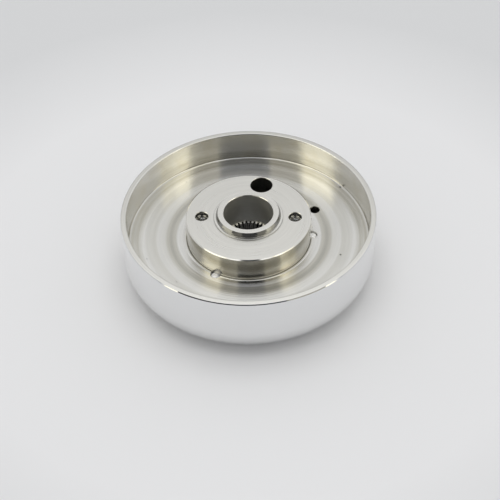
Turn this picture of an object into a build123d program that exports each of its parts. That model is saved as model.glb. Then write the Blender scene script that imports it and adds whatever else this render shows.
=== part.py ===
"""Steering wheel hub adapter: a polished aluminium dish with a pinned centre hub.

The part lies wheel side down. The origin is the centre of the wheel face, +Z runs
along the steering column's axis towards the column, and the two puller holes are on X.
All sizes are in millimetres.
"""

import os

from build123d import *

# Outer shell
rim_diameter = 101.6
overall_height = 30.0
wall_thickness = 2.3
dish_depth = 12.8
bottom_radius = 13.0
rim_edge_width = 0.2
rim_edge_height = 0.42
rim_inner_chamfer = 0.35
dish_corner_radius = 0.7
joint_chamfer = 0.35
joint_top_chamfer = 0.1

# Centre hub
hub_diameter = 50.0
boss_height = 10.2
boss_edge_width = 0.4
boss_edge_height = 0.26
nut_recess_diameter = 40.0
nut_recess_depth = 6.5
nut_recess_corner_radius = 1.0
recess_chamfer = 0.5

# Splined sleeve
sleeve_diameter = 25.6
shoulder_diameter = 27.8
shoulder_height = 0.55
shoulder_chamfer = 0.2
collar_height = 1.85
collar_edge_width = 0.6
collar_edge_height = 0.9
collar_root_radius = 0.2
column_bore_diameter = 19.8
column_bore_chamfer = 0.3
spline_length = 9.3
spline_tooth_count = 36
spline_minor_diameter = 18.0
spline_major_diameter = 19.4
spline_gap_at_tips = 1.1
spline_gap_at_roots = 0.5
spline_lead_chamfer = 0.3
spline_phase_angle = 3.0

# Holes in the hub's column face
puller_hole_spacing = 37.2
puller_hole_depth = 15.0
puller_countersink_diameter = 5.6
insert_outer_diameter = 5.2
insert_inner_diameter = 4.2
insert_length = 10.0
insert_sink = 0.8
horn_hole_diameter = 9.0
horn_hole_radius = 19.6
horn_hole_angle = 76.0
horn_hole_chamfer = 0.15
drill_point_ratio = 0.6

# Hole for the horn wire in the dish floor
wire_hole_diameter = 3.9
wire_hole_radius = 30.7
wire_hole_angle = 30.0
wire_hole_chamfer = 0.2

# Tapped holes for the steering wheel
wheel_bolt_circle = 70.0
wheel_bolt_count = 6
wheel_bolt_drill_diameter = 4.2
wheel_bolt_depth = 12.0
wheel_bolt_countersink = 0.45

# Locking pins along the joint between the hub and the shell
pin_count = 3
pin_diameter = 4.0
pin_length = 16.0
pin_circle_radius = 25.6
pin_start_angle = 1.0
pin_end_chamfer = 0.4
pin_dome_radius = 1.4
pin_sink = 0.1
pin_mouth_chamfer = 0.1

# Sizes that follow from the ones above
rim_radius = rim_diameter / 2
dish_radius = rim_radius - wall_thickness
floor_z = overall_height - dish_depth
hub_radius = hub_diameter / 2
boss_top_z = floor_z + boss_height
shoulder_top_z = boss_top_z + shoulder_height
collar_top_z = shoulder_top_z + collar_height
spline_bottom_z = nut_recess_depth
spline_top_z = spline_bottom_z + spline_length
insert_top_z = boss_top_z - insert_sink
pin_top_z = floor_z - pin_sink
pin_bottom_z = pin_top_z - pin_length

os.makedirs("parts", exist_ok=True)


def save(part, name):
    """Label a finished piece and write it as parts/NAME.step."""
    part.label = name
    export_step(part, f"parts/{name}.step")


def corner(sketch, radius, height):
    """The profile's corner nearest a given radius and height."""
    return sketch.vertices().sort_by_distance((radius, height, 0))[0]


def rim_circles(part, height, radius):
    """The circular edges of a hole or rim with this radius at this height."""
    at_height = part.edges().filter_by(GeomType.CIRCLE).filter_by_position(
        Axis.Z, height - 0.01, height + 0.01
    )
    return at_height.filter_by(lambda edge: abs(edge.radius - radius) < 0.01)


def drill_point(radius, height, sign):
    """A solid cone that ends a blind hole, pointing along sign times Z."""
    depth = radius * drill_point_ratio
    with BuildPart(mode=Mode.PRIVATE) as cone:
        with BuildSketch(Plane.XY.offset(height)):
            Circle(radius)
        with BuildSketch(Plane.XY.offset(height + sign * depth)):
            Circle(0.05)
        loft()
    return cone.part


# Outer shell: thin rim wall, thick web and a large outer radius down to the wheel face
with BuildPart() as outer_shell:
    with BuildSketch(Plane.XZ) as shell_profile:
        with BuildLine():
            Polyline(
                (rim_radius, bottom_radius),
                (rim_radius, overall_height - rim_edge_height),
                (rim_radius - rim_edge_width, overall_height),
                (dish_radius, overall_height),
                (dish_radius, floor_z),
                (hub_radius, floor_z),
                (hub_radius, 0),
                (rim_radius - bottom_radius, 0),
            )
            RadiusArc(
                (rim_radius - bottom_radius, 0),
                (rim_radius, bottom_radius),
                -bottom_radius,
            )
        make_face()
        chamfer(corner(shell_profile, dish_radius, overall_height), rim_inner_chamfer)
        fillet(corner(shell_profile, dish_radius, floor_z), dish_corner_radius)
        chamfer(corner(shell_profile, hub_radius, floor_z), joint_top_chamfer)
        chamfer(corner(shell_profile, hub_radius, 0), joint_chamfer)
    revolve(axis=Axis.Z)
    # Grooves for the locking pins, open at both ends
    with BuildSketch():
        with PolarLocations(pin_circle_radius, pin_count, pin_start_angle):
            Circle(pin_diameter / 2)
    extrude(amount=floor_z, mode=Mode.SUBTRACT)
    with BuildSketch(Plane.XY.offset(floor_z)):
        with PolarLocations(pin_circle_radius, pin_count, pin_start_angle):
            Circle(pin_diameter / 2 + pin_mouth_chamfer)
    extrude(amount=-pin_mouth_chamfer, taper=45, mode=Mode.SUBTRACT)
    # Horn wire hole through the web
    with BuildSketch():
        with PolarLocations(wire_hole_radius, 1, wire_hole_angle):
            Circle(wire_hole_diameter / 2)
    extrude(amount=floor_z, mode=Mode.SUBTRACT)
    chamfer(rim_circles(outer_shell, floor_z, wire_hole_diameter / 2), wire_hole_chamfer)
    chamfer(rim_circles(outer_shell, 0, wire_hole_diameter / 2), wire_hole_chamfer)
    # Blind tapped holes for the wheel
    with BuildSketch():
        with PolarLocations(wheel_bolt_circle / 2, wheel_bolt_count):
            Circle(wheel_bolt_drill_diameter / 2)
    extrude(amount=wheel_bolt_depth, mode=Mode.SUBTRACT)
    chamfer(
        rim_circles(outer_shell, 0, wheel_bolt_drill_diameter / 2),
        wheel_bolt_countersink,
    )
    with PolarLocations(wheel_bolt_circle / 2, wheel_bolt_count):
        add(
            drill_point(wheel_bolt_drill_diameter / 2, wheel_bolt_depth, 1),
            mode=Mode.SUBTRACT,
        )

save(outer_shell.part, "outer_shell")


# Centre hub: a turned slug through the web, with the column face on its raised boss
with BuildPart() as centre_hub:
    with BuildSketch(Plane.XZ) as hub_profile:
        with BuildLine():
            Polyline(
                (sleeve_diameter / 2, nut_recess_depth),
                (nut_recess_diameter / 2, nut_recess_depth),
                (nut_recess_diameter / 2, 0),
                (hub_radius, 0),
                (hub_radius, boss_top_z - boss_edge_height),
                (hub_radius - boss_edge_width, boss_top_z),
                (sleeve_diameter / 2, boss_top_z),
                close=True,
            )
        make_face()
        fillet(
            corner(hub_profile, nut_recess_diameter / 2, nut_recess_depth),
            nut_recess_corner_radius,
        )
        chamfer(corner(hub_profile, nut_recess_diameter / 2, 0), recess_chamfer)
        chamfer(corner(hub_profile, hub_radius, 0), joint_chamfer)
    revolve(axis=Axis.Z)
    # Horn contact hole, which opens into the nut recess
    with BuildSketch():
        with PolarLocations(horn_hole_radius, 1, horn_hole_angle):
            Circle(horn_hole_diameter / 2)
    extrude(amount=boss_top_z, mode=Mode.SUBTRACT)
    chamfer(rim_circles(centre_hub, boss_top_z, horn_hole_diameter / 2), horn_hole_chamfer)
    # Countersunk blind holes for the puller's thread inserts
    with BuildSketch(Plane.XY.offset(boss_top_z)):
        with GridLocations(puller_hole_spacing, 0, 2, 1):
            Circle(insert_outer_diameter / 2)
    extrude(amount=-puller_hole_depth, mode=Mode.SUBTRACT)
    chamfer(
        rim_circles(centre_hub, boss_top_z, insert_outer_diameter / 2),
        (puller_countersink_diameter - insert_outer_diameter) / 2,
    )
    with GridLocations(puller_hole_spacing, 0, 2, 1):
        add(
            drill_point(insert_outer_diameter / 2, boss_top_z - puller_hole_depth, -1),
            mode=Mode.SUBTRACT,
        )
    # Half-round grooves for the locking pins, which stop at the level of the dish floor
    with BuildSketch():
        with PolarLocations(pin_circle_radius, pin_count, pin_start_angle):
            Circle(pin_diameter / 2)
    extrude(amount=floor_z, mode=Mode.SUBTRACT)

save(centre_hub.part, "centre_hub")


# Splined sleeve: pressed in until its shoulder seats on the hub's column face
with BuildPart() as splined_sleeve:
    with BuildSketch(Plane.XZ) as sleeve_profile:
        with BuildLine():
            Polyline(
                (spline_minor_diameter / 2, spline_bottom_z),
                (sleeve_diameter / 2, spline_bottom_z),
                (sleeve_diameter / 2, boss_top_z),
                (shoulder_diameter / 2, boss_top_z),
                (shoulder_diameter / 2, shoulder_top_z),
                (sleeve_diameter / 2, shoulder_top_z),
                (sleeve_diameter / 2, collar_top_z - collar_edge_height),
                (sleeve_diameter / 2 - collar_edge_width, collar_top_z),
                (column_bore_diameter / 2, collar_top_z),
                (column_bore_diameter / 2, spline_top_z),
                (spline_minor_diameter / 2, spline_top_z),
                close=True,
            )
        make_face()
        chamfer(corner(sleeve_profile, shoulder_diameter / 2, shoulder_top_z), shoulder_chamfer)
        fillet(corner(sleeve_profile, sleeve_diameter / 2, shoulder_top_z), collar_root_radius)
        chamfer(
            corner(sleeve_profile, column_bore_diameter / 2, collar_top_z),
            column_bore_chamfer,
        )
        chamfer(
            corner(sleeve_profile, spline_minor_diameter / 2, spline_top_z),
            spline_lead_chamfer,
        )
        chamfer(
            corner(sleeve_profile, spline_minor_diameter / 2, spline_bottom_z),
            spline_lead_chamfer,
        )
    revolve(axis=Axis.Z)
    # Gaps between the spline's teeth
    tip_radius = spline_minor_diameter / 2
    root_radius = spline_major_diameter / 2
    inner_radius = tip_radius - 0.2
    with BuildSketch(Plane.XY.offset(spline_bottom_z)):
        with PolarLocations(0, spline_tooth_count, spline_phase_angle + 180 / spline_tooth_count):
            Polygon(
                (inner_radius, -spline_gap_at_tips / 2),
                (root_radius, -spline_gap_at_roots / 2),
                (root_radius, spline_gap_at_roots / 2),
                (inner_radius, spline_gap_at_tips / 2),
                align=None,
            )
    extrude(amount=spline_length, mode=Mode.SUBTRACT)

save(splined_sleeve.part, "splined_sleeve")


# Locking pins: dowels driven from the wheel side, with a domed end at the dish floor
for number in range(pin_count):
    angle = pin_start_angle + number * 360 / pin_count
    with BuildPart() as locking_pin:
        with BuildSketch(Plane.XY.offset(pin_bottom_z)):
            with PolarLocations(pin_circle_radius, 1, angle):
                Circle(pin_diameter / 2)
        extrude(amount=pin_length)
        ends = locking_pin.edges().filter_by(GeomType.CIRCLE).sort_by(Axis.Z)
        fillet(ends[-1], pin_dome_radius)
        chamfer(
            locking_pin.edges().filter_by(GeomType.CIRCLE).sort_by(Axis.Z)[0],
            pin_end_chamfer,
        )
    save(locking_pin.part, f"locking_pin_{number + 1}")


# Thread inserts: one in each puller hole, sunk below the column face
for side, direction in (("right", 1), ("left", -1)):
    with BuildPart() as thread_insert:
        with BuildSketch(Plane.XY.offset(insert_top_z)):
            with Locations((direction * puller_hole_spacing / 2, 0)):
                Circle(insert_outer_diameter / 2)
                Circle(insert_inner_diameter / 2, mode=Mode.SUBTRACT)
        extrude(amount=-insert_length)
    save(thread_insert.part, f"thread_insert_{side}")
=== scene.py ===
import bpy
import bmesh
import math
import random
from mathutils import Matrix, Vector


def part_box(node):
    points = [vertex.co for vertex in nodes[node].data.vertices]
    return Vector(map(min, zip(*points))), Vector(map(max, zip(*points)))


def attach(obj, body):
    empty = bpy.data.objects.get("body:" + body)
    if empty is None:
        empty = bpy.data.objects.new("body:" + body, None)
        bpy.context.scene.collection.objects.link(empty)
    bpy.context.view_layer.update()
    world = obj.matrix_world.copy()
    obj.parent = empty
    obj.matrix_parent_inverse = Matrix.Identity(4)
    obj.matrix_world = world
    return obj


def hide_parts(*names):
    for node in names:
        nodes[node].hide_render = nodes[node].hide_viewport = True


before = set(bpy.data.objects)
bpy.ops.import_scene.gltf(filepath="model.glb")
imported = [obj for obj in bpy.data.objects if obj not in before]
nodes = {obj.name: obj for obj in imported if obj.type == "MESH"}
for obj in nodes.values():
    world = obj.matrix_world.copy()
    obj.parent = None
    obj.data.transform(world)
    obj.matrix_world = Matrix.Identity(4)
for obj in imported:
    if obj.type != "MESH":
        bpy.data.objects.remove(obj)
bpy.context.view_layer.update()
MM = 0.001
TURN = 512

# Sizes in millimetres, read from the frame where a node's box gives them
RIM_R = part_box("outer_shell")[1].x / MM
RIM_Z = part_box("outer_shell")[1].z / MM
BOSS_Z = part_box("centre_hub")[1].z / MM
HUB_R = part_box("centre_hub")[1].y / MM
COLLAR_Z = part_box("splined_sleeve")[1].z / MM
SPLINE_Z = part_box("splined_sleeve")[0].z / MM
SHOULDER_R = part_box("splined_sleeve")[1].y / MM
FLOOR_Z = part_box("locking_pin_1")[1].z / MM + 0.1
WALL, BOTTOM_R, CORNER, EDGE = 2.3, 13, 0.7, 0.35
DISH_R = RIM_R - WALL
SLEEVE_R = 12.8
BORE_R, TIP_R, ROOT_R, SPLINE_TOP = 9.9, 9.0, 9.7, 15.8
TEETH, SPLINE_PHASE = 36, 3
FLOOR_MARKS, WALL_MARKS = 0.022, 0.008
BOLTS = [(35 * math.cos(math.radians(a)), 35 * math.sin(math.radians(a))) for a in range(0, 360, 60)]
PINS = [sum(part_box(f"locking_pin_{i}"), Vector()) / 2 / MM for i in (1, 2, 3)]
INSERTS = {side: sum(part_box(f"thread_insert_{side}"), Vector()) / 2 / MM for side in ("left", "right")}
HORN = (19.6 * math.cos(math.radians(76)), 19.6 * math.sin(math.radians(76)))
WIRE = (30.7 * math.cos(math.radians(30)), 30.7 * math.sin(math.radians(30)))


# ---- camera, floor, light ----

def direction(azimuth, elevation):
    """Unit vector towards a place round the object; azimuth 0 is the front (-Y), 90 the right (+X)."""
    a, e = math.radians(azimuth), math.radians(elevation)
    return Vector((math.sin(a) * math.cos(e), -math.cos(a) * math.cos(e), math.sin(e)))


def link(obj):
    bpy.context.scene.collection.objects.link(obj)
    return obj


def camera():
    data = bpy.data.cameras.new("camera")
    data.lens = 93.6
    cam = link(bpy.data.objects.new("camera", data))
    aim = Vector((0.587, -6.370, 15.0)) * MM
    back = direction(2.758, 44.302)
    turn = back.to_track_quat("Z", "Y").to_matrix() @ Matrix.Rotation(math.radians(-1.548), 3, "Z")
    cam.matrix_world = Matrix.Translation(aim + back * 521.5 * MM) @ turn.to_4x4()
    bpy.context.scene.camera = cam


def plane(name, width, height):
    mesh = bpy.data.meshes.new(name)
    w, h = width / 2, height / 2
    mesh.from_pydata([(-w, -h, 0), (w, -h, 0), (w, h, 0), (-w, h, 0)], [], [(0, 1, 2, 3)])
    return link(bpy.data.objects.new(name, mesh))


def panel(name, azimuths, elevations, colour, strength):
    """A glowing studio panel 1 m away between two azimuths and two elevations, seen only as a reflection."""
    columns, rows = 12, 6
    across = [azimuths[0] + (azimuths[1] - azimuths[0]) * i / columns for i in range(columns + 1)]
    up = [elevations[0] + (elevations[1] - elevations[0]) * i / rows for i in range(rows + 1)]
    verts = [direction(a, e) for e in up for a in across]
    corners = [(columns + 1) * j + i for j in range(rows) for i in range(columns)]
    faces = [(c, c + 1, c + columns + 2, c + columns + 1) for c in corners]
    mesh = bpy.data.meshes.new(name)
    mesh.from_pydata(verts, [], faces)
    obj = link(bpy.data.objects.new(name, mesh))
    mat = bpy.data.materials.new(name)
    mat.use_nodes = True
    tree = mat.node_tree
    tree.nodes.clear()
    out = tree.nodes.new("ShaderNodeOutputMaterial")
    glow = tree.nodes.new("ShaderNodeEmission")
    glow.inputs["Color"].default_value = (*colour, 1)
    glow.inputs["Strength"].default_value = strength
    tree.links.new(glow.outputs[0], out.inputs["Surface"])
    mesh.materials.append(mat)
    obj.visible_diffuse = obj.visible_shadow = obj.visible_camera = False


def stage():
    floor = plane("floor", 6, 6)
    n = Nodes("floor")
    n.lathe()
    # Painted pool of light: the studio floor is lighter near the object and darker further out.
    inner, outer = (0.80, 0.80, 0.805, 1), (0.68, 0.685, 0.69, 1)
    n.feed(n.shader.inputs["Base Color"], n.mix(n.spread(n.r, 120, 185), inner, outer))
    n.shader.inputs["Roughness"].default_value = 0.7
    n.shader.inputs["Specular IOR Level"].default_value = 0.2
    floor.data.materials.append(n.mat)
    floor.location.z = -0.0001

    world = bpy.data.worlds.new("studio")
    world.use_nodes = True
    world.node_tree.nodes["Background"].inputs["Color"].default_value = (*WORLD, 1)
    bpy.context.scene.world = world

    top = bpy.data.lights.new("overhead", "AREA")
    top.shape = "SQUARE"
    top.size = 0.9
    top.energy = LAMP
    lamp = link(bpy.data.objects.new("overhead", top))
    lamp.location = (0, 0.05, 1.2)
    lamp.visible_glossy = False

    for name, azimuths, elevations, colour, strength in PANELS:
        panel(name, azimuths, elevations, colour, strength)


# A dark front, two bright windows with dimmer walls beside them, and a pale ceiling
CREAM, OLIVE, PALE = (1.0, 0.955, 0.79), (1.0, 0.955, 0.80), (1.0, 0.99, 0.95)
PANELS = (
    ("front", (-20, 30), (2, 74), (0.90, 0.98, 1.0), 0.02),
    ("front_foot", (-55, 12), (-3, 20), (0.90, 0.98, 1.0), 0.01),
    ("near_right", (30, 61), (2, 62), OLIVE, 0.40),
    ("near_left", (-53, -20), (20, 62), OLIVE, 0.38),
    ("upper_right", (30, 61), (62, 74), PALE, 1.15),
    ("upper_left", (-53, -20), (62, 74), PALE, 1.15),
    ("window_right", (61, 78), (2, 74), CREAM, 1.60),
    ("side_right", (78, 95), (2, 74), CREAM, 1.12),
    ("window_left", (-90, -53), (2, 74), CREAM, 1.58),
    ("far_right", (95, 140), (2, 74), PALE, 0.70),
    ("far_left", (-140, -90), (2, 74), PALE, 0.60),
    ("back_foot", (140, 220), (2, 36), PALE, 0.50),
    ("back_low", (140, 220), (36, 43), PALE, 0.62),
    ("back_middle", (140, 220), (43, 48), PALE, 0.74),
    ("back_high", (140, 220), (48, 74), PALE, 0.90),
    ("ceiling", (0, 360), (74, 90), (1, 1, 1), 1.0),
)
WORLD = (0.705, 0.708, 0.714)
LAMP = 4.2


# ---- shapes ----

def arc(r, z, radius, start, end, steps):
    """Points on a circle round (r, z), from one angle to another in degrees."""
    angles = [math.radians(start + (end - start) * i / steps) for i in range(steps + 1)]
    return [(r + radius * math.cos(a), z + radius * math.sin(a)) for a in angles]


def run(a, b, step):
    """Points along a straight line, without its two ends."""
    count = max(1, round(math.dist(a, b) / step))
    return [(a[0] + (b[0] - a[0]) * i / count, a[1] + (b[1] - a[1]) * i / count) for i in range(1, count)]


def marks(points, depth, rng, axis=1):
    """Turning marks: shallow ridges of uneven height along a run, into the metal."""
    return [(r - rng.random() * depth * (axis == 0), z - rng.random() * depth * (axis == 1))
            for r, z in points]


def grid(rings, closed=True):
    """Vertices and faces of a surface through rings of equal length, capped or joined round."""
    count, size = len(rings), len(rings[0])
    verts = [p for ring in rings for p in ring]
    faces = []
    for i in range(count if closed else count - 1):
        a, b = i * size, (i + 1) % count * size
        faces += [(a + j, a + (j + 1) % size, b + (j + 1) % size, b + j) for j in range(size)]
    if not closed:
        faces += [tuple(range(size))[::-1], tuple(range((count - 1) * size, count * size))]
    return verts, faces


def build(name, verts, faces, scale=MM):
    mesh = bpy.data.meshes.new(name)
    mesh.from_pydata([Vector(v) * scale for v in verts], [], faces)
    edit = bmesh.new()
    edit.from_mesh(mesh)
    bmesh.ops.recalc_face_normals(edit, faces=edit.faces)
    edit.to_mesh(mesh)
    edit.free()
    return link(bpy.data.objects.new(name, mesh))


def lathe(name, profile, segments=TURN, centre=(0, 0), closed=True, radius_at=None):
    """A turned solid: the profile's (radius, height) points swept round an upright axis."""
    rings = []
    for r, z in profile:
        ring = []
        for i in range(segments):
            a = 2 * math.pi * i / segments
            reach = radius_at(r, z, a) if radius_at else r
            ring.append((centre[0] + reach * math.cos(a), centre[1] + reach * math.sin(a), z))
        rings.append(ring)
    return build(name, *grid(rings, closed))


def drill(name, centre, radius, low, high, mouth=0.0, mouth_low=0.0, point=0.0, segments=96):
    """A hole's cutter, with optional chamfered mouths and a drill point at its top or bottom."""
    profile = []
    if mouth_low:
        profile += [(radius + mouth_low + 1, low - 1), (radius, low + mouth_low)]
    elif point < 0:
        profile += [(0.05, low + point), (radius, low)]
    else:
        profile += [(radius, low - 1)]
    if mouth:
        profile += [(radius, high - mouth), (radius + mouth + 1, high + 1)]
    elif point > 0:
        profile += [(radius, high), (0.05, high + point)]
    else:
        profile += [(radius, high + 1)]
    return lathe(name, profile, segments, centre, closed=False)


def tapped(name, centre, minor, major, pitch, low, high, mouth):
    """The cutter of a threaded blind hole drilled upwards from the wheel face."""
    segments, per_turn = 48, 8
    count = round((high - low) / pitch * per_turn)
    profile = [(minor + mouth + 1, low - 1), (minor + mouth * 0.5, low + mouth * 0.5)]
    profile += [(minor, low + mouth + (high - low - mouth - 1.5) * i / count) for i in range(count + 1)]
    profile += [(minor - 0.001, high), (0.05, high + minor * 0.6)]

    def threaded(r, z, a):
        if r != minor:
            return r
        phase = (z / pitch - a / (2 * math.pi)) % 1
        return r + (major - minor) * max(0.0, 1 - abs(phase - 0.5) / 0.42)

    return lathe(name, profile, segments, centre, closed=False, radius_at=threaded)


def cut(obj, cutters):
    """Subtract the cutters from the object, joined into one tool first."""
    tool = cutters[0]
    with bpy.context.temp_override(active_object=tool, selected_editable_objects=cutters):
        if len(cutters) > 1:
            bpy.ops.object.join()
    modifier = obj.modifiers.new("holes", "BOOLEAN")
    modifier.operation = "DIFFERENCE"
    modifier.solver = "MANIFOLD"
    modifier.object = tool
    shape = bpy.data.meshes.new_from_object(obj.evaluated_get(bpy.context.evaluated_depsgraph_get()))
    obj.modifiers.clear()
    obj.data = shape
    bpy.data.objects.remove(tool)
    return obj


def smooth(obj, angle=24):
    """Shade smooth, except across edges sharper than the angle."""
    for face in obj.data.polygons:
        face.use_smooth = True
    obj.data.set_sharp_from_angle(angle=math.radians(angle))
    return obj


# ---- materials ----

class Nodes:
    """Short calls that add nodes to one material."""

    def __init__(self, name):
        self.mat = bpy.data.materials.new(name)
        self.mat.use_nodes = True
        self.tree = self.mat.node_tree
        self.shader = self.tree.nodes["Principled BSDF"]
        self.place = self.add("ShaderNodeTexCoord").outputs["Object"]

    def add(self, kind, **settings):
        node = self.tree.nodes.new(kind)
        for key, value in settings.items():
            setattr(node, key, value)
        return node

    def feed(self, socket, value):
        if isinstance(value, bpy.types.NodeSocket):
            self.tree.links.new(value, socket)
        elif value is not None:
            socket.default_value = value

    def math(self, operation, a, b=None, c=None):
        node = self.add("ShaderNodeMath", operation=operation)
        for socket, value in zip(node.inputs, (a, b, c)):
            self.feed(socket, value)
        return node.outputs[0]

    def spread(self, value, low, high, to_low=0.0, to_high=1.0):
        """The value moved from one range to another and kept inside it."""
        node = self.add("ShaderNodeMapRange")
        for socket, v in zip(node.inputs, (value, low, high, to_low, to_high)):
            self.feed(socket, v)
        return node.outputs["Result"]

    def noise(self, vector, scale, detail=2.0, rough=0.5):
        node = self.add("ShaderNodeTexNoise")
        self.feed(node.inputs["Vector"], vector)
        node.inputs["Scale"].default_value = scale
        node.inputs["Detail"].default_value = detail
        node.inputs["Roughness"].default_value = rough
        return node.outputs["Fac"]

    def mix(self, factor, a, b):
        node = self.add("ShaderNodeMix", data_type="RGBA")
        self.feed(node.inputs["Factor"], factor)
        self.feed(node.inputs["A"], a)
        self.feed(node.inputs["B"], b)
        return node.outputs["Result"]

    def bump(self, height, distance, after=None):
        node = self.add("ShaderNodeBump")
        node.inputs["Distance"].default_value = distance
        node.inputs["Strength"].default_value = 1.0
        self.feed(node.inputs["Height"], height)
        self.feed(node.inputs["Normal"], after)
        return node.outputs["Normal"]

    def lathe(self):
        """A point's radius and height in millimetres, and its direction from the axis."""
        split = self.add("ShaderNodeSeparateXYZ")
        self.feed(split.inputs[0], self.place)
        x, y, z = split.outputs
        r = self.math("SQRT", self.math("ADD", self.math("MULTIPLY", x, x), self.math("MULTIPLY", y, y)))
        self.east, self.north = self.math("DIVIDE", x, r), self.math("DIVIDE", y, r)
        self.r, self.z = self.math("MULTIPLY", r, 1000.0), self.math("MULTIPLY", z, 1000.0)
        self.across = self.math("ADD", self.r, self.z)

    def streaks(self, across, along, detail=2.0, rough=0.5, shift=0.0):
        """Noise in lines round the axis: so many per millimetre across, and slowly changing along them."""
        vector = self.add("ShaderNodeCombineXYZ")
        self.feed(vector.inputs[0], self.math("MULTIPLY", self.east, along))
        self.feed(vector.inputs[1], self.math("MULTIPLY", self.north, along))
        self.feed(vector.inputs[2], self.math("MULTIPLY_ADD", self.across, across, shift))
        return self.noise(vector.outputs[0], 1.0, detail, rough)

    def ramp(self, value, low, high, stops):
        """A smooth curve through (value, brightness) stops."""
        node = self.add("ShaderNodeValToRGB")
        node.color_ramp.interpolation = "EASE"
        elements = node.color_ramp.elements
        for _ in stops[2:]:
            elements.new(0.5)
        for element, (at, bright) in zip(elements, stops):
            element.position = (at - low) / (high - low)
            element.color = (bright, bright, bright, 1)
        self.feed(node.inputs[0], self.spread(value, low, high))
        return node.outputs["Color"]

    def times(self, factor, a, b):
        node = self.add("ShaderNodeMix", data_type="RGBA", blend_type="MULTIPLY")
        self.feed(node.inputs["Factor"], factor)
        self.feed(node.inputs["A"], a)
        self.feed(node.inputs["B"], b)
        return node.outputs["Result"]


def turned_metal(name, colour, roughness, anisotropy, lines=0.000002, waves=0.000004, tint=None,
                 metallic=1.0):
    """Metal with grooves round the axis, which blur reflections across them but not along them."""
    n = Nodes(name)
    n.lathe()
    rings = n.streaks(0.7, 0.5, detail=3.0, rough=0.6)
    fine = n.streaks(4.0, 1.5, detail=2.0, shift=9.0)
    n.shader.inputs["Metallic"].default_value = metallic
    n.shader.inputs["Anisotropic"].default_value = anisotropy
    n.shader.inputs["Anisotropic Rotation"].default_value = 0.25
    tangent = n.add("ShaderNodeTangent", direction_type="RADIAL", axis="Z")
    n.feed(n.shader.inputs["Tangent"], tangent.outputs[0])
    shade = n.mix(n.spread(rings, 0.3, 0.7), (*[c * 0.94 for c in colour], 1), (*colour, 1))
    shade = n.times(1.0, shade, n.mix(n.spread(fine, 0.35, 0.65), (0.95, 0.95, 0.95, 1), (1, 1, 1, 1)))
    normal = n.bump(rings, waves)
    if tint:
        shade, normal = tint(n, shade, normal)
    n.feed(n.shader.inputs["Base Color"], shade)
    n.feed(n.shader.inputs["Roughness"], n.spread(rings, 0.3, 0.7, roughness * 0.9, roughness * 1.1))
    n.feed(n.shader.inputs["Normal"], n.bump(fine, lines, after=normal))
    return n.mat


# (radius in mm, value): brightness of the dish floor, painted reflection and shade in rings, and its metal
# share
FLOOR_SHADE_RINGS = ((25.0, 0.97), (26.0, 0.93), (28.0, 0.95), (28.6, 0.98), (29.6, 0.68),
               (31.6, 0.52), (32.6, 0.66), (34.2, 0.87), (36.6, 0.92), (38.0, 0.80),
               (41.0, 0.86), (42.6, 0.98), (43.8, 0.85), (45.0, 0.70), (46.0, 0.82),
               (47.0, 0.72), (47.8, 0.88), (48.5, 0.95))
DIFFUSE_BANDS = ((24.0, 1.0), (27.0, 1.0), (27.8, 0.76), (31.0, 0.78), (33.5, 0.82), (49.0, 0.82))


def floor_shade_and_pits(n, shade, normal):
    """Painted reflection and shade in rings round the axis, with a faint warm cast where darker, and a few
    pits.
    """
    uneven = n.noise(n.place, 25, detail=2.0)
    # The floor's brightness by radius is painted reflection and shade, warmed where it is darkest.
    painted_rings = n.ramp(n.r, 24.0, 49.0, FLOOR_SHADE_RINGS)
    shade = n.times(n.spread(uneven, 0.3, 0.7, 0.75, 1.0), shade, painted_rings)
    n.feed(n.shader.inputs["Metallic"], n.ramp(n.r, 24.0, 49.0, DIFFUSE_BANDS))
    warm_where_shaded = n.spread(painted_rings, 0.95, 0.65)
    shade = n.times(warm_where_shaded, shade, (1.0, 0.985, 0.92, 1))
    return pits(n, shade, normal, 80.0)


def stains(n, shade, normal):
    """Faint brownish handling stains."""
    blotches = n.noise(n.place, 140, detail=4.0, rough=0.6)
    return n.times(n.spread(blotches, 0.45, 0.75, 0.0, 0.8), shade, (0.90, 0.86, 0.76, 1)), normal


def pits(n, shade, normal, scale):
    cells = n.add("ShaderNodeTexVoronoi", feature="F1", voronoi_dimensions="2D")
    n.feed(cells.inputs["Vector"], n.place)
    cells.inputs["Scale"].default_value = scale
    pick = n.add("ShaderNodeSeparateColor")
    n.feed(pick.inputs[0], cells.outputs["Color"])
    size = n.spread(pick.outputs[0], 0.62, 1.0, 0.0, 0.035)
    inside = n.math("LESS_THAN", cells.outputs["Distance"], size)
    return n.mix(inside, shade, (0.12, 0.12, 0.11, 1)), n.bump(inside, -0.0001, after=normal)


def polished_metal(name, colour, roughness, metallic=1.0):
    n = Nodes(name)
    wear = n.noise(n.place, 60, detail=4.0)
    n.shader.inputs["Metallic"].default_value = metallic
    n.feed(n.shader.inputs["Base Color"], n.mix(wear, (*[c * 0.97 for c in colour], 1), (*colour, 1)))
    n.feed(n.shader.inputs["Roughness"], n.spread(wear, 0.3, 0.7, roughness * 0.7, roughness * 1.3))
    n.feed(n.shader.inputs["Normal"], n.bump(n.noise(n.place, 120, detail=2.0), 0.00001))
    return n.mat


def dress(obj, *finishes):
    """Give each face the first finish whose test of (radius, height, normal, x, y) in mm holds."""
    obj.data.materials.clear()
    for material, _ in finishes:
        obj.data.materials.append(material)
    for face in obj.data.polygons:
        x, y, z = face.center / MM
        r = math.hypot(x, y)
        for index, (_, test) in enumerate(finishes):
            if test is None or test(r, z, face.normal, x, y):
                face.material_index = index
                break


def near(x, y, centre, radius):
    return math.hypot(x - centre[0], y - centre[1]) < radius


camera()
stage()

# ---- outer shell ----

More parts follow.
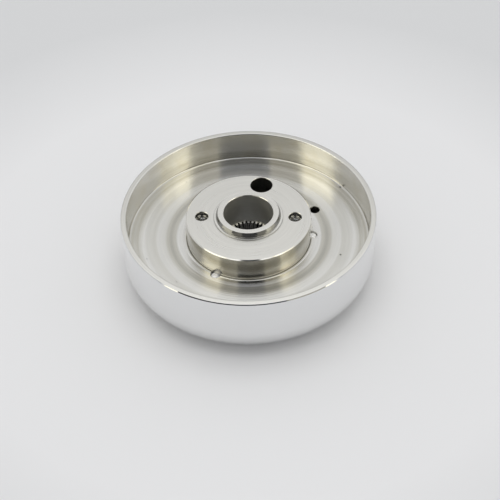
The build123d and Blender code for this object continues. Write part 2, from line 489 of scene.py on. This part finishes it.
rng = random.Random(7)
floor_run = marks(run((DISH_R - CORNER, FLOOR_Z), (HUB_R + 0.95, FLOOR_Z), 0.2), FLOOR_MARKS, rng)
shell_profile = [(HUB_R + EDGE, 0), *run((HUB_R + EDGE, 0), (RIM_R - BOTTOM_R, 0), 1.0)]
shell_profile += arc(RIM_R - BOTTOM_R, BOTTOM_R, BOTTOM_R, -90, 0, 60)
shell_profile += run((RIM_R, BOTTOM_R), (RIM_R, RIM_Z - 0.42), 1.0)
shell_profile += [(RIM_R, RIM_Z - 0.42), (RIM_R - 0.2, RIM_Z - 0.04), (RIM_R - 0.3, RIM_Z)]
shell_profile += run((RIM_R - 0.3, RIM_Z), (DISH_R + EDGE, RIM_Z), 0.3)
shell_profile += arc(DISH_R + EDGE, RIM_Z - EDGE, EDGE, 90, 180, 6)
wall_run = run((DISH_R, RIM_Z - EDGE), (DISH_R, FLOOR_Z + CORNER), 0.2)
shell_profile += marks(wall_run, -WALL_MARKS, rng, axis=0)
shell_profile += arc(DISH_R - CORNER, FLOOR_Z + CORNER, CORNER, 0, -90, 10)
shell_profile += floor_run
shell_profile += arc(HUB_R + 0.5, FLOOR_Z - 0.69, 0.80, 61, 119, 10)
shell_profile += [(HUB_R + 0.09, FLOOR_Z - 0.2), (HUB_R + 0.04, FLOOR_Z - 0.8), (HUB_R, EDGE)]
shell = lathe("dish_shell", shell_profile)
shell_cutters = [drill("wire", WIRE, 1.95, 0, FLOOR_Z, mouth=0.2, mouth_low=0.2, segments=64)]
shell_cutters += [drill("groove", pin.xy, 2.0, -1, FLOOR_Z, mouth=0.08, segments=96) for pin in PINS]
shell_cutters += [tapped("bolt", spot, 2.1, 2.5, 0.8, 0, 12, 0.45) for spot in BOLTS]
smooth(cut(shell, shell_cutters))

# ---- hub ----

hub_profile = [(20.5, 0), (HUB_R - EDGE, 0), (HUB_R, EDGE), *run((HUB_R, EDGE), (HUB_R, FLOOR_Z), 0.5)]
hub_profile += marks(run((HUB_R, FLOOR_Z), (HUB_R, BOSS_Z - 0.26), 0.2), WALL_MARKS, rng, axis=0)
hub_profile += [(HUB_R, BOSS_Z - 0.26), (HUB_R - 0.4, BOSS_Z)]
hub_profile += run((HUB_R - 0.4, BOSS_Z), (SLEEVE_R, BOSS_Z), 0.5)
hub_profile += [(SLEEVE_R, BOSS_Z), (SLEEVE_R, 6.5), *run((SLEEVE_R, 6.5), (19, 6.5), 0.5)]
hub_profile += arc(19, 5.5, 1.0, 90, 0, 8)
hub_profile += [(20, 0.5)]
hub = lathe("hub_body", hub_profile)
hub_cutters = [drill("horn", HORN, 4.5, 0, BOSS_Z, mouth=0.15, segments=128)]
hub_cutters += [drill("puller", spot.xy, 2.6, BOSS_Z - 15, BOSS_Z, mouth=0.2, point=-1.56)
                for spot in INSERTS.values()]
hub_cutters += [drill("groove", pin.xy, 2.0, -1, FLOOR_Z - 1) for pin in PINS]
smooth(cut(hub, hub_cutters))

# ---- sleeve ----

def splined(r, z, a):
    """The spline's teeth, where the profile is at the tip radius."""
    if abs(r - TIP_R) > 0.001:
        return r
    pitch = 2 * math.pi / TEETH
    gap = abs((a - math.radians(SPLINE_PHASE)) % pitch - pitch / 2)
    across, root_half_width, flank_slope = gap * 9.3, 0.25, 3.0
    if across < root_half_width:
        return ROOT_R
    return max(TIP_R, ROOT_R - (across - root_half_width) * flank_slope)


sleeve_profile = [(9.3, SPLINE_Z), (SLEEVE_R, SPLINE_Z), (SLEEVE_R, BOSS_Z), (SHOULDER_R, BOSS_Z)]
sleeve_profile += [(SHOULDER_R, BOSS_Z + 0.35), (SHOULDER_R - 0.2, BOSS_Z + 0.55)]
sleeve_profile += arc(SLEEVE_R + 0.2, BOSS_Z + 0.75, 0.2, -90, -180, 5)
sleeve_profile += [(SLEEVE_R, COLLAR_Z - 0.9), (SLEEVE_R - 0.6, COLLAR_Z)]
sleeve_profile += run((SLEEVE_R - 0.6, COLLAR_Z), (BORE_R + 0.2, COLLAR_Z), 0.4)
sleeve_profile += [(BORE_R + 0.2, COLLAR_Z), (BORE_R, COLLAR_Z - 0.2)]
sleeve_profile += run((BORE_R, COLLAR_Z - 0.2), (BORE_R, SPLINE_TOP), 1.0)
sleeve_profile += [(BORE_R, SPLINE_TOP), (9.8, SPLINE_TOP), (TIP_R, 15.5)]
sleeve_profile += [*run((TIP_R, 15.5), (TIP_R, 6.8), 1.0), (TIP_R, 6.8)]
sleeve = smooth(lathe("sleeve_body", sleeve_profile, segments=TEETH * 20, radius_at=splined))

# ---- thread inserts ----


def coil(name, centre, top, bottom):
    """A wire thread insert: a diamond section wound down the hole."""
    pitch, per_turn = 0.8, 48
    count = round((top - bottom - pitch) / pitch * per_turn)
    section = [(2.12, 0), (2.36, 0.34), (2.6, 0), (2.36, -0.34)]
    rings = []
    for i in range(count + 1):
        a = -2 * math.pi * i / per_turn
        z = top - pitch / 2 - pitch * i / per_turn
        rings.append([(centre.x + r * math.cos(a), centre.y + r * math.sin(a), z + h) for r, h in section])
    return smooth(build(name, *grid(rings, closed=False)), 50)


coils = {}
for side, spot in INSERTS.items():
    low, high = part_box(f"thread_insert_{side}")
    coils[side] = coil(f"coil_{side}", spot, high.z / MM, low.z / MM)

# ---- finishes ----

# The dish wall is darker and warmer than the floor of the same metal: painted shade standing in for its
# reflections; the blotches are stains.
dish_wall = turned_metal("dish_wall", (0.79, 0.777, 0.73), 0.12, 1.0, tint=stains)
dish_floor = turned_metal("dish_floor", (0.93, 0.935, 0.94), 0.17, 1.0, tint=floor_shade_and_pits)
outside = polished_metal("shell_polished", (0.82, 0.825, 0.83), 0.06)
# The pins are near white and mostly not metallic: a painted highlight standing in for the glint on each pin's
# end.
pin_glint_white = polished_metal("pin_painted_glint", (0.98, 0.98, 0.975), 0.30, metallic=0.25)
rim_metal = turned_metal("rim_turned", (0.91, 0.91, 0.90), 0.12, 0.5, lines=0.0000005, waves=0)
hub_top = turned_metal("hub_top", (0.90, 0.90, 0.89), 0.30, 0.2, lines=0.0000005, waves=0)
# The hub wall is much darker than the boss top of the same metal: painted shade standing in for its
# reflections; the blotches are stains.
hub_wall = turned_metal("hub_wall", (0.60, 0.585, 0.53), 0.11, 1.0, tint=stains)
sleeve_metal = turned_metal("sleeve_turned", (0.92, 0.92, 0.91), 0.18, 0.4, lines=0.0000005, waves=0)
# The collar's side and the shoulder's side are dark and grey copies of the sleeve steel: painted reflection
# and shade.
sleeve_side = turned_metal("sleeve_side", (0.30, 0.30, 0.29), 0.12, 0.5, lines=0.0000005, waves=0,
                           metallic=0.85)
shoulder_side = turned_metal("shoulder_side", (0.50, 0.50, 0.49), 0.40, 0.2, metallic=0.5)
# The bore and the spline are darker copies of the sleeve steel: painted shade inside the bore.
bore_metal = turned_metal("bore_dark", (0.70, 0.70, 0.68), 0.45, 0.3)
spline_metal = turned_metal("spline_dark", (0.22, 0.22, 0.21), 0.40, 0.0)
coil_metal = polished_metal("coil_steel", (0.95, 0.95, 0.94), 0.15)
# The holes' walls are a dark copy of the metal: painted shade inside the holes.
hole_metal = turned_metal("hole_dark", (0.28, 0.28, 0.27), 0.35, 0.3)


def in_shell_hole(r, z, n, x, y):
    if abs(n.z) > 0.9:
        return False
    return near(x, y, WIRE, 2.2) or any(near(x, y, s, 2.9) for s in BOLTS)


def in_hub_hole(r, z, n, x, y):
    if z > BOSS_Z - 0.1:
        return False
    return near(x, y, HORN, 4.8) or any(near(x, y, s.xy, 2.75) for s in INSERTS.values())


dress(shell, (hole_metal, in_shell_hole), (hole_metal, lambda r, z, n, x, y: r < HUB_R + 0.12),
      (rim_metal, lambda r, z, n, x, y: z > RIM_Z - 0.5 and r < RIM_R - 0.3),
      (outside, lambda r, z, n, x, y: r > RIM_R - 1.0 or (z < 16 and r > 37.8)),
      (hub_top, lambda r, z, n, x, y: r < HUB_R + 0.9 or z < 16),
      (dish_wall, lambda r, z, n, x, y: r > DISH_R - 0.3), (dish_floor, None))
dress(hub, (hole_metal, in_hub_hole), (rim_metal, lambda r, z, n, x, y: r > HUB_R - 0.5 and 0.5 < n.z < 0.95),
      (hub_top, lambda r, z, n, x, y: z > BOSS_Z - 0.3 or r < 24), (hub_wall, None))
dress(sleeve, (sleeve_metal, lambda r, z, n, x, y: 15.4 < z < 15.9 and n.z > 0.3),
      (spline_metal, lambda r, z, n, x, y: r < BORE_R - 0.05 and z < 15.6),
      (bore_metal, lambda r, z, n, x, y: r < BORE_R + 0.02),
      (shoulder_side, lambda r, z, n, x, y: r > SHOULDER_R - 0.25),
      (sleeve_side, lambda r, z, n, x, y: r > SLEEVE_R - 0.7 and n.z < 0.9), (sleeve_metal, None))
for i in (1, 2, 3):
    dress(nodes[f"locking_pin_{i}"], (pin_glint_white, None))
for piece, node, slot in ((shell, "outer_shell", "polished_shell"), (hub, "centre_hub", "turned_hub"),
                          (sleeve, "splined_sleeve", "sleeve_steel")):
    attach(piece, "root")
    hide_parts(node)
for side, piece in coils.items():
    dress(piece, (coil_metal, None))
    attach(piece, "root")
    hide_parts(f"thread_insert_{side}")

bpy.context.scene.view_settings.view_transform = "Standard"
